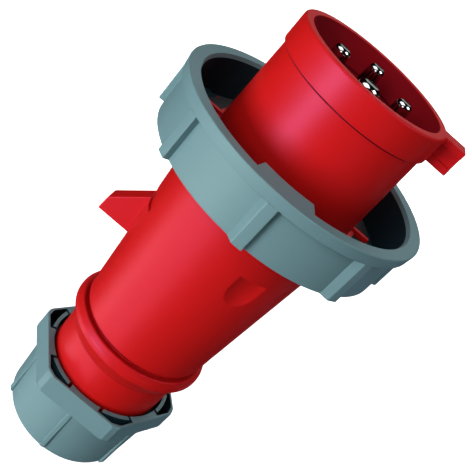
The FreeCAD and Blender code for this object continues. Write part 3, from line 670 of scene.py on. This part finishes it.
class PLUG_OT_front_shroud(Operator):
    """Red front shell: spigot, hub, flange with its stops, base ring, tabs, shroud, collar and key"""

    bl_idname = "plug.front_shroud"
    bl_label = "Front shroud"

    def execute(self, context):
        size = context.scene.plug_shroud
        pins = context.scene.plug_pins
        floor_high = FLANGE_TOP + size.floor_above_flange
        flange_low = FLANGE_TOP - size.flange_thickness
        groove_low = SHROUD_LOW.z + size.seal_groove_from_end
        groove_high = groove_low + size.seal_groove + 0.6 * MM
        groove_radius = size.spigot_radius - size.seal_groove
        piece = turned("front_shroud_piece", (0, CARRIER_TOP), (size.spigot_bore, CARRIER_TOP),
                       (size.spigot_bore, SHROUD_LOW.z), (size.spigot_radius, SHROUD_LOW.z, 0.4 * MM),
                       (size.spigot_radius, groove_low), (groove_radius, groove_low),
                       (groove_radius, groove_high), (size.spigot_radius, groove_high),
                       (size.spigot_radius, HANDLE_FRONT), (size.hub_radius, HANDLE_FRONT),
                       (size.hub_radius, flange_low), (size.flange_radius, flange_low, 0.3 * MM),
                       (size.flange_radius, FLANGE_TOP, 0.3 * MM), (size.base_ring_radius, FLANGE_TOP),
                       (size.base_ring_radius, FLANGE_TOP + size.base_ring_height, 0.25 * MM),
                       (size.root_radius, FLANGE_TOP + size.base_ring_height),
                       (size.top_radius, MOUTH - size.collar_length),
                       (size.collar_radius, MOUTH - size.collar_length, 0.2 * MM),
                       (size.collar_radius, MOUTH, size.rim_round), (size.mouth_radius, MOUTH, 0.25 * MM),
                       (size.mouth_radius, floor_high, 0.8 * MM), (0, floor_high))
        add(piece, self.key(size))
        add(piece, self.tabs(size))
        add(piece, self.stops(size, flange_low))
        for radius, turn in ((pins.line_radius, 0), (pins.line_radius, 90), (pins.line_radius, 180),
                             (pins.earth_radius, 270)):
            at = pin_place(math.radians(turn))
            hole_radius = radius + pins.root_step + pins.hole_gap
            cut(piece, rod("hole", hole_radius, CARRIER_TOP - PAST, floor_high + PAST, at))
        finish_piece(piece, "plug_body", "red_plastic", MaterialSet.get("red_plastic"), "front_shroud")
        return {"FINISHED"}

    def key(self, size):
        """Block beside the collar with a pocket in each side, open at its outer face."""
        half = size.key_width / 2
        low = MOUTH - size.key_length
        reach = SHROUD_HIGH.x
        key = block("key", Vector((size.top_radius - PAST, -half, low)), Vector((reach, half, MOUTH)))
        soften(key, size.key_edge * 0.45, segments=3)
        inner = size.collar_radius - PAST
        pocket_low = low + size.key_rear_plate
        pocket_high = MOUTH - size.key_front_plate
        for side in (-1, 1):
            edge = side * half
            floor = edge - side * size.key_pocket_depth
            low_y, high_y = sorted((floor, edge + side * PAST))
            cut(key, block("pocket", Vector((inner, low_y, pocket_low)),
                           Vector((reach + PAST, high_y, pocket_high))))
        return key

    def tabs(self, size):
        """Small tabs over the seal, one below the key and one opposite."""
        half = size.tab_width / 2
        low = COLLAR_SEAL_HIGH.z
        tab = block("tab", Vector((size.root_radius - PAST, -half, low)),
                    Vector((size.tab_reach, half, low + size.tab_height)))
        soften(tab, 0.2 * MM)
        return copies(tab, (0, math.pi))

    def stops(self, size, flange_low):
        inner = size.flange_radius - 0.5 * MM
        outer = size.flange_radius + size.stop_reach
        corners = ((inner, flange_low), (outer, flange_low), (outer, FLANGE_TOP), (inner, FLANGE_TOP))
        stop = sector("stop", corners, -size.stop_width / 2, size.stop_width / 2)
        turns = [base + side * size.stop_angle for base in (0, math.pi) for side in (-1, 1)]
        return copies(stop, turns)


def pin_place(turn):
    """Where a pin stands, on the circle through the first line pin."""
    low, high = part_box("line_pin_1")
    return polar((low.x + high.x) / 2, turn)


class PLUG_OT_locking_ring(Operator):
    """Grey bayonet ring with eight grip ribs and two lugs"""

    bl_idname = "plug.locking_ring"
    bl_label = "Locking ring"

    def execute(self, context):
        size = context.scene.plug_ring
        shroud = context.scene.plug_shroud
        band_radius = RING_HIGH.x - size.flare
        band_low = RING_HIGH.z - size.band_length
        lip_low = RING_LOW.z + size.skirt
        lip_high = lip_low + size.lip_thickness
        lip_radius = shroud.hub_radius + size.running_gap
        piece = turned("locking_ring_piece", (lip_radius, lip_low), (size.bore_radius, lip_low),
                       (size.bore_radius, RING_LOW.z), (size.panel_radius, RING_LOW.z, 0.5 * MM),
                       (size.panel_radius, band_low - size.band_slope), (band_radius, band_low, 0.15 * MM),
                       (RING_HIGH.x, RING_HIGH.z, size.front_round),
                       (size.bore_radius + size.chamfer, RING_HIGH.z, 0.12 * MM),
                       (size.bore_radius, RING_HIGH.z - size.chamfer_length, 0.12 * MM),
                       (size.bore_radius, lip_high), (lip_radius, lip_high))
        turns = [math.tau * number / 8 for number in range(8)]
        add(piece, copies(self.rib(size, band_low), turns))
        add(piece, copies(self.lug(size), (math.pi / 2, -math.pi / 2)))
        add(piece, copies(self.nib(size, shroud, lip_high), (0, math.pi)))
        finish_piece(piece, "bayonet_ring", "grey_plastic", MaterialSet.get("ring_plastic_painted_shade"), "locking_ring")
        return {"FINISHED"}

    def rib(self, size, band_low):
        """Rib with a steep side and a sloping one."""
        half = size.rib_width / 2
        outer = RING_HIGH.x - size.flare
        inner = size.bore_radius + 0.5 * MM
        foot = -half - size.rib_slope
        low = RING_LOW.z
        points = [polar(outer, half, low), polar(outer, 0, low), polar(outer, -half, low),
                  polar(size.panel_radius - 0.2 * MM, foot, low), polar(inner, foot, low),
                  polar(inner, half, low)]
        rib = prism("rib", points, Vector((0, 0, band_low + 0.1 * MM - low)))
        return soften(rib, size.rib_edge, segments=3, limit=25)

    def lug(self, size):
        low = RING_HIGH.z - size.lug_thickness
        outer = size.bore_radius + PAST
        corners = ((size.lug_radius, low), (outer, low), (outer, RING_HIGH.z), (size.lug_radius, RING_HIGH.z))
        lug = sector("lug", corners, -size.lug_half_width, size.lug_half_width)
        soften(lug, 0.3 * MM)
        select_only(lug)
        bpy.ops.object.mode_set(mode="EDIT")
        bpy.ops.mesh.select_all(action="SELECT")
        bpy.ops.mesh.bisect(plane_co=(0, 0, low + 0.8 * MM), use_fill=True, clear_inner=True,
                            plane_no=(0, -math.sin(size.lug_ramp), math.cos(size.lug_ramp)))
        close_mesh()
        return lug

    def nib(self, size, shroud, lip_high):
        """Stop inside the ring that meets the stops on the flange."""
        inner = shroud.flange_radius + 0.3 * MM
        outer = size.bore_radius + 0.5 * MM
        low = lip_high - 0.5 * MM
        high = FLANGE_TOP - 0.3 * MM
        half_stop = shroud.stop_width / 2 + math.radians(0.5)
        start = -shroud.stop_angle + half_stop
        end = shroud.stop_angle - half_stop - math.radians(45)
        return sector("nib", ((inner, low), (outer, low), (outer, high), (inner, high)), start, end)


class PLUG_OT_handle(Operator):
    """Red grip: threaded neck, rim, taper, cover catch and thumb recesses"""

    bl_idname = "plug.handle"
    bl_label = "Handle"

    def execute(self, context):
        size = context.scene.plug_handle
        shroud = context.scene.plug_shroud
        neck_end = HANDLE_LOW.z
        neck_top = NUT_HIGH.z + size.neck_length
        shoulder = NUT_HIGH.z - context.scene.plug_nut.flat_length + MM
        rim_low = neck_top + size.rim_fillet
        rim_high = rim_low + size.rim_length
        grip_low = rim_high + size.groove_width
        crease = HANDLE_FRONT - size.flare_length
        groove_radius = size.rear_radius - size.groove_depth
        bore = shroud.spigot_radius + 0.1 * MM
        rear_room = size.neck_root_radius - 3.4 * MM
        stem_room = self.grip_radius(size, SHROUD_LOW.z - 6 * MM, crease, grip_low) - size.wall
        seat_radius = size.thread_radius - 3.4 * MM
        seat_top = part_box("seal_bush")[1].z
        outside = [(seat_radius, neck_end), (size.thread_radius - size.thread_depth, neck_end)]
        outside += self.thread(size, neck_end + 0.8 * MM, shoulder - 0.8 * MM)
        outside += [(size.thread_radius, shoulder), (size.neck_radius, shoulder + 1.5 * MM),
                    (size.neck_root_radius, neck_top, 3 * MM),
                    (size.rim_radius - 1.3 * MM, rim_low - 1.2 * MM, 2.5 * MM),
                    (size.rim_radius, rim_low + 0.6 * MM, 0.7 * MM),
                    (size.rim_radius + 0.1 * MM, rim_low + 0.5 * size.rim_length, 3 * MM),
                    (size.rear_radius + size.groove_width, rim_high, 0.8 * MM),
                    (groove_radius, rim_high - 0.6 * MM, 0.2 * MM),
                    (groove_radius, grip_low - 0.3 * MM, 0.2 * MM),
                    (size.rear_radius, grip_low, 0.25 * MM)]
        rows = [grip_low + (crease - grip_low) * row / TAPER_ROWS for row in range(1, TAPER_ROWS)]
        outside += [(self.grip_radius(size, row, crease, grip_low), row) for row in rows]
        outside += [(size.crease_radius, crease), (size.front_radius, HANDLE_FRONT, 0.8 * MM)]
        inside = [(bore, HANDLE_FRONT), (bore, SHROUD_LOW.z - 0.5 * MM), (stem_room, SHROUD_LOW.z - 6 * MM),
                  (rear_room + 0.6 * MM, grip_low), (rear_room, neck_top),
                  (rear_room - MM, NUT_HIGH.z + 3 * MM),
                  (13 * MM, seat_top + 3 * MM), (13 * MM, seat_top), (seat_radius, seat_top)]
        piece = turned("handle_piece", *outside, *inside)
        cut(piece, self.relief(size, crease))
        add(piece, self.catch(size, crease, grip_low))
        for side in (-1, 1):
            cut(piece, self.recess(size, crease, grip_low, side * size.recess_angle))
        finish_piece(piece, "plug_body", "red_plastic", MaterialSet.get("red_plastic"), "handle_shell")
        return {"FINISHED"}

    def thread(self, size, low, high):
        """Rings of thread for the gland nut."""
        points = []
        count = int((high - low) / size.thread_pitch)
        for number in range(count):
            start = low + number * size.thread_pitch
            points += [(size.thread_radius - size.thread_depth, start),
                       (size.thread_radius, start + 0.4 * size.thread_pitch),
                       (size.thread_radius, start + 0.6 * size.thread_pitch)]
        return points + [(size.thread_radius - size.thread_depth, low + count * size.thread_pitch)]

    def grip_radius(self, size, height, crease, grip_low):
        share = (height - grip_low) / (crease - grip_low)
        return size.rear_radius + share * (size.crease_radius - size.rear_radius)

    def catch(self, size, crease, grip_low):
        """Fin with a steep rear face, a short top and a ramp to the front."""
        back = crease - size.catch_back
        top = back + size.catch_top
        ramp = top + size.catch_ramp
        tip = -HANDLE_LOW.x
        root = self.grip_radius(size, back, crease, grip_low) - 1.5 * MM
        foot = self.grip_radius(size, ramp, crease, grip_low) - 0.3 * MM
        half = size.catch_width / 2
        outline = [(root, back), (tip, back), (tip - size.catch_drop, top), (foot, ramp), (root, ramp)]
        fin = prism("catch", [Vector((-r, -half, z)) for r, z in outline], Vector((0, size.catch_width, 0)))
        return soften(fin, size.catch_edge, segments=3, limit=20)

    def relief(self, size, crease):
        """Shallow cut in front of the catch."""
        low = crease - size.catch_back + size.catch_top + size.catch_ramp
        high = low + size.relief_length
        inner = size.crease_radius - (crease - low) * 0.079 - size.relief_depth
        outer = size.front_radius + PAST
        corners = ((inner, low), (outer, low), (outer, high), (inner, high))
        return sector("relief", corners, math.pi - size.relief_half_width, math.pi + size.relief_half_width)

    def recess(self, size, crease, grip_low, turn):
        """Scoop for a thumb: crisp at the front, round at the rear, along the taper of the grip."""
        rear = -size.recess_straight - size.recess_radius
        scoop = turned("recess", (0, rear), (size.recess_radius, rear, size.recess_radius, 40),
                       (size.recess_radius, 0), (0, 0))
        front = crease - size.recess_to_crease
        taper = math.atan((size.crease_radius - size.rear_radius) / (crease - grip_low))
        inner = self.grip_radius(size, front, crease, grip_low) - size.recess_depth
        scoop.location = polar(size.recess_radius, 0) * math.cos(taper) + Vector((inner, 0, front))
        scoop.location.z -= size.recess_radius * math.sin(taper)
        scoop.rotation_euler.y = taper
        bpy.ops.object.transform_apply(location=True, rotation=True, scale=False)
        return spun(scoop, turn)


class PLUG_OT_gland_nut(Operator):
    """Grey gland nut: ribbed dome, hexagon and sprung fingers in pockets"""

    bl_idname = "plug.gland_nut"
    bl_label = "Gland nut"

    def execute(self, context):
        size = context.scene.plug_nut
        hex_low = NUT_HIGH.z - size.flat_length
        piece = turned("gland_nut_piece", (0, 0), (size.rear_radius, 0, size.rear_round),
                       (size.shoulder_radius, hex_low), (size.shoulder_radius, hex_low + MM), (0, hex_low + MM))
        add(piece, copies(self.rib(size, hex_low), NUT_FLATS))
        add(piece, self.hexagon(size, hex_low))
        bore = turned("bore", (0, size.floor), (size.bore_radius, size.floor, 0.5 * MM),
                      (size.bore_radius, hex_low), (size.mouth_radius, hex_low + 1.5 * MM),
                      (size.mouth_radius, NUT_HIGH.z + PAST),
                      (0, NUT_HIGH.z + PAST))
        cut(piece, bore)
        hole = size.cable_hole_radius
        reach = size.floor + PAST
        cut(piece, turned("cable_hole", (0, -PAST), (hole, -PAST), (hole, reach), (0, reach)))
        cut(piece, self.pockets(size))
        for side in (-1, 1):
            cut(piece, self.slits(size, side))
        finish_piece(piece, "nut", "grey_plastic", MaterialSet.get("nut_plastic_painted_shade"), "gland_nut")
        return {"FINISHED"}

    def rib(self, size, hex_low):
        inner = size.rear_radius - 2 * MM
        top = size.rear_radius + size.rib_height
        low = size.rear_round - 0.5 * MM
        half = size.rib_width / 2
        outline = [(inner, low), (top - 0.5 * MM, low), (top, low + MM),
                   (size.shoulder_radius + size.rib_top, hex_low + 0.5 * MM), (inner, hex_low + 0.5 * MM)]
        rib = prism("rib", [Vector((r, -half, z)) for r, z in outline], Vector((0, size.rib_width, 0)))
        return soften(rib, 0.45 * MM, segments=3)

    def hexagon(self, size, hex_low):
        """Hexagonal block with blunt corners and bevelled ends."""
        apothem = size.across_flats / 2
        blunt = math.radians(30) - math.acos(apothem / size.corner_radius)
        points = [polar(size.corner_radius, turn + side * blunt, hex_low)
                  for turn in NUT_CORNERS for side in (-1, 1)]
        block_piece = soften(prism("hexagon", points, Vector((0, 0, size.flat_length))), 0.25 * MM, limit=20)
        slope = size.bevel / size.bevel_length
        low = size.corner_radius - size.bevel - slope * MM
        high = size.corner_radius - size.bevel + slope * MM
        cone = turned("cone", (0, hex_low - MM), (low, hex_low - MM), (high, hex_low + MM),
                      (high, NUT_HIGH.z - MM), (low, NUT_HIGH.z + MM), (0, NUT_HIGH.z + MM))
        return combine(block_piece, cone, "INTERSECT")

    def pockets(self, size):
        """Room behind the fingers, one pocket in each corner of the hexagon."""
        low = NUT_HIGH.z - size.finger_depth
        high = NUT_HIGH.z + PAST
        corner = (size.across_flats / 2 - size.pocket_wall) / math.cos(math.radians(30))
        points = [polar(corner, turn, low) for turn in NUT_CORNERS]
        room = prism("pockets", points, Vector((0, 0, high - low)))
        blunt = size.corner_radius - size.bevel - size.pocket_wall
        fingers = size.mouth_radius + size.finger_thickness
        ends = low - PAST, high + PAST
        combine(room, rod("blunt", blunt, *ends, sides=SEGMENTS), "INTERSECT")
        cut(room, rod("fingers", fingers, *ends, sides=SEGMENTS))
        half = size.web_width / 2
        web = block("web", Vector((size.bore_radius, -half, ends[0])),
                    Vector((size.corner_radius, half, ends[1])))
        return cut(room, copies(web, NUT_FLATS))

    def slits(self, size, side):
        """Gaps beside the webs that free one end of each finger."""
        outer = size.mouth_radius + size.finger_thickness + 0.1 * MM
        inner = size.mouth_radius - size.finger_thickness
        low = NUT_HIGH.z - size.finger_depth - 0.05 * MM
        near = size.web_width / 2 - 0.05 * MM
        low_y, high_y = sorted((side * near, side * (size.web_width / 2 + size.finger_slit)))
        slit = block("slit", Vector((inner, low_y, low)), Vector((outer, high_y, NUT_HIGH.z + PAST)))
        return copies(slit, NUT_FLATS)


class PLUG_OT_pins(Operator):
    """Three line pins and the larger earth pin, turned and plated"""

    bl_idname = "plug.pins"
    bl_label = "Pins"

    def execute(self, context):
        size = context.scene.plug_pins
        for number, turn in enumerate((0, 90, 180), 1):
            self.pin("line_pin_%d" % number, size.line_radius, size.line_barrel, size.line_wire, turn, size)
        self.pin("earth_pin", size.earth_radius, size.earth_barrel, size.earth_wire, 270, size)
        return {"FINISHED"}

    def pin(self, node, radius, barrel, wire, turn, size):
        low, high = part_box(node)
        collar_low = CARRIER_TOP - size.collar_length
        floor_high = FLANGE_TOP + bpy.context.scene.plug_shroud.floor_above_flange
        collar = radius + size.collar_step
        root = radius + size.root_step
        wire_end = low.z + size.wire_depth
        piece = turned(node + "_piece", (0, wire_end), (wire, wire_end), (wire, low.z), (barrel, low.z, 0.2 * MM),
                       (barrel, collar_low), (collar, collar_low), (collar, CARRIER_TOP),
                       (root, CARRIER_TOP), (root, floor_high, 0.15 * MM), (radius, floor_high),
                       (radius, high.z, size.tip_round * radius, 10), (0, high.z))
        piece.location = pin_place(math.radians(turn))
        select_only(piece)
        bpy.ops.object.transform_apply(location=True, rotation=False, scale=False)
        finish_piece(piece, "plug_body", "plated_brass", MaterialSet.get("plated_brass"), node)


class PLUG_OT_shroud_seal(Operator):
    """Flat rubber seal that a socket's collar is pressed on"""

    bl_idname = "plug.shroud_seal"
    bl_label = "Shroud seal"

    def execute(self, context):
        inner = context.scene.plug_shroud.base_ring_radius + 0.05 * MM
        outer = COLLAR_SEAL_HIGH.x
        low, high = COLLAR_SEAL_LOW.z, COLLAR_SEAL_HIGH.z
        piece = turned("shroud_seal_piece", (inner, low), (outer, low, 0.2 * MM), (outer, high, 0.35 * MM),
                       (inner, high))
        finish_piece(piece, "plug_body", "rubber", MaterialSet.get("rubber"), "shroud_seal")
        return {"FINISHED"}


class PLUG_OT_inner_parts(Operator):
    """Finishes of the parts inside, which keep their construction meshes"""

    bl_idname = "plug.inner_parts"
    bl_label = "Inner parts"

    def execute(self, context):
        finishes = {
            "rubber": ("seal_bush", "seal_insert", "housing_seal"),
            "grey_plastic": ("pressure_ring", "clamp_cage"),
            "black_plastic": ("contact_carrier", "retainer_plate"),
            "steel": ("line_terminal_screws", "earth_terminal_screws", "retainer_screws", "carrier_screws"),
        }
        for name, nodes in finishes.items():
            for node in nodes:
                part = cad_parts[node]
                part.data.materials.clear()
                part.data.materials.append(MaterialSet.get(name))
        return {"FINISHED"}


# Each lamp: its name, its direction in the camera's axes (right, up, back), its side in metres, its power in
# watts and, where it isn't white, its tint. Soft lamps give no reflections, and sheen lamps nothing else.
SOFT_LAMPS = (
    ("front_left_light", (-1.0, 0.0, 1.0), 0.4, 5.7),
    ("left_light", (-1.0, 0.3, 0.5), 0.4, 1.6),
    ("front_light", (-0.3, 0.3, 1.0), 0.5, 3.0),
    ("right_light", (1.0, 0.0, 0.7), 0.5, 1.2),
    ("low_light", (0.2, -0.7, 0.7), 0.5, 0.8),
    ("mouth_light", (0.59, 0.64, 0.49), 0.4, 1.4),
    ("back_light", (0.49, -0.64, -0.59), 0.35, 2.0, (0.72, 0.76, 1.0)),
    ("rear_light", (0.58, 0.607, -0.543), 0.5, 3.6),
)
SHEEN_LAMPS = (
    ("front_left_sheen", (-1.0, 0.0, 1.0), 0.4, 10.2),
    ("left_sheen", (-1.0, 0.0, 0.0), 0.4, 3.8),
    ("low_sheen", (-1.0, -0.5, 0.3), 0.4, 2.9),
    ("pin_sheen", (0.2, 0.8, 0.6), 0.8, 4.0),
    ("pin_edge", (0.95, 0.1, 0.3), 0.5, 2.4),
    ("pin_dot", (0.0, 0.1, 1.0), 0.3, 0.8),
    ("tip_sheen", (0.58, 0.63, -0.52), 0.5, 0.3, (0.9, 1.0, 0.95)),
)


class PLUG_OT_stage(Operator):
    """Pale floor, soft studio light and the photograph's camera"""

    bl_idname = "plug.stage"
    bl_label = "Stage"

    def execute(self, context):
        stage = context.scene.plug_stage
        self.floor(stage)
        camera = self.camera(stage)
        axes = camera.matrix_world.to_3x3()
        middle = Vector((0, 0, MOUTH * 0.55))
        for lamps, left_out in ((SOFT_LAMPS, "visible_glossy"), (SHEEN_LAMPS, "visible_diffuse")):
            for name, aim, *rest in lamps:
                lamp = self.lamp(name, middle, axes @ Vector(aim), *rest)
                setattr(lamp, left_out, False)
        self.world(context, stage)
        context.scene.view_settings.view_transform = "Standard"
        return {"FINISHED"}

    def floor(self, stage):
        clear_selection()
        bpy.ops.mesh.primitive_plane_add(size=stage.floor_size, location=(0, 0, 0))
        floor = bpy.context.object
        floor.name = "floor"
        bpy.ops.object.mode_set(mode="EDIT")
        bpy.ops.mesh.select_all(action="SELECT")
        bpy.ops.mesh.select_mode(type="EDGE")
        bpy.ops.mesh.extrude_edges_move(TRANSFORM_OT_translate={"value": Vector((0, 0, stage.wall_height))})
        bpy.ops.mesh.select_mode(type="VERT")
        bpy.ops.object.mode_set(mode="OBJECT")
        finish = Finish("pale_floor", Roughness=0.9, Specular_IOR_Level=0.1)
        cloud = finish.noise(300 * MM, detail=1.0)
        white = tuple(stage.floor_colour)
        finish.feed("Base Color", finish.blend(cloud, shade(white, 0.99), shade(white, 1.0)))
        finish.feed("Emission Color", (1.0, 1.0, 1.0, 1.0))
        finish.shader.inputs["Emission Strength"].default_value = 1.0
        floor.data.materials.append(finish.material)
        floor.visible_diffuse = floor.visible_glossy = floor.visible_shadow = False

    def camera(self, stage):
        bpy.ops.object.camera_add(location=stage.camera_place, rotation=Euler(stage.camera_turn))
        camera = bpy.context.object
        camera.name = "photo_camera"
        camera.data.lens = stage.camera_lens
        camera.data.clip_start = 0.01
        bpy.context.scene.camera = camera
        bpy.context.view_layer.update()
        return camera

    def lamp(self, name, middle, aim, side, power, tint=(1.0, 1.0, 1.0)):
        """Square lamp, one metre off, that looks at the middle of the plug."""
        direction = aim.normalized()
        bpy.ops.object.light_add(type="AREA", location=middle + direction)
        lamp = bpy.context.object
        lamp.name = name
        lamp.rotation_euler = direction.to_track_quat("Z", "Y").to_euler()
        lamp.data.shape = "SQUARE"
        lamp.data.size = side
        lamp.data.energy = power
        lamp.data.color = tint
        return lamp

    def world(self, context, stage):
        world = bpy.data.worlds.new("studio")
        context.scene.world = world
        world.use_nodes = True
        ground = world.node_tree.nodes["Background"]
        ground.inputs["Color"].default_value = (0.9, 0.95, 1.0, 1.0)
        ground.inputs["Strength"].default_value = stage.fill
        world.cycles_visibility.glossy = False


class VIEW3D_PT_plug(Panel):
    """Steps that dress the plug, in their order"""

    bl_label = "Plug"
    bl_idname = "VIEW3D_PT_plug"
    bl_space_type = "VIEW_3D"
    bl_region_type = "UI"
    bl_category = "Plug"

    def draw(self, context):
        for step in STEPS:
            self.layout.operator(step.bl_idname)


STEPS = (PLUG_OT_front_shroud, PLUG_OT_locking_ring, PLUG_OT_handle, PLUG_OT_gland_nut, PLUG_OT_pins,
         PLUG_OT_shroud_seal, PLUG_OT_inner_parts, PLUG_OT_stage)
GROUPS = {"plug_shroud": ShroudSizes, "plug_ring": RingSizes, "plug_handle": HandleSizes, "plug_nut": NutSizes,
          "plug_pins": PinSizes, "plug_colours": FinishColours, "plug_stage": StageSettings}


def register():
    for group in GROUPS.values():
        bpy.utils.register_class(group)
    for step in STEPS:
        bpy.utils.register_class(step)
    bpy.utils.register_class(VIEW3D_PT_plug)
    for name, group in GROUPS.items():
        setattr(bpy.types.Scene, name, PointerProperty(type=group))


def unregister():
    for name in GROUPS:
        delattr(bpy.types.Scene, name)
    bpy.utils.unregister_class(VIEW3D_PT_plug)
    for step in reversed(STEPS):
        bpy.utils.unregister_class(step)
    for group in GROUPS.values():
        bpy.utils.unregister_class(group)


def main():
    register()
    bpy.ops.plug.front_shroud()
    bpy.ops.plug.locking_ring()
    bpy.ops.plug.handle()
    bpy.ops.plug.gland_nut()
    bpy.ops.plug.pins()
    bpy.ops.plug.shroud_seal()
    bpy.ops.plug.inner_parts()
    bpy.ops.plug.stage()


if __name__ == "__main__":
    main()
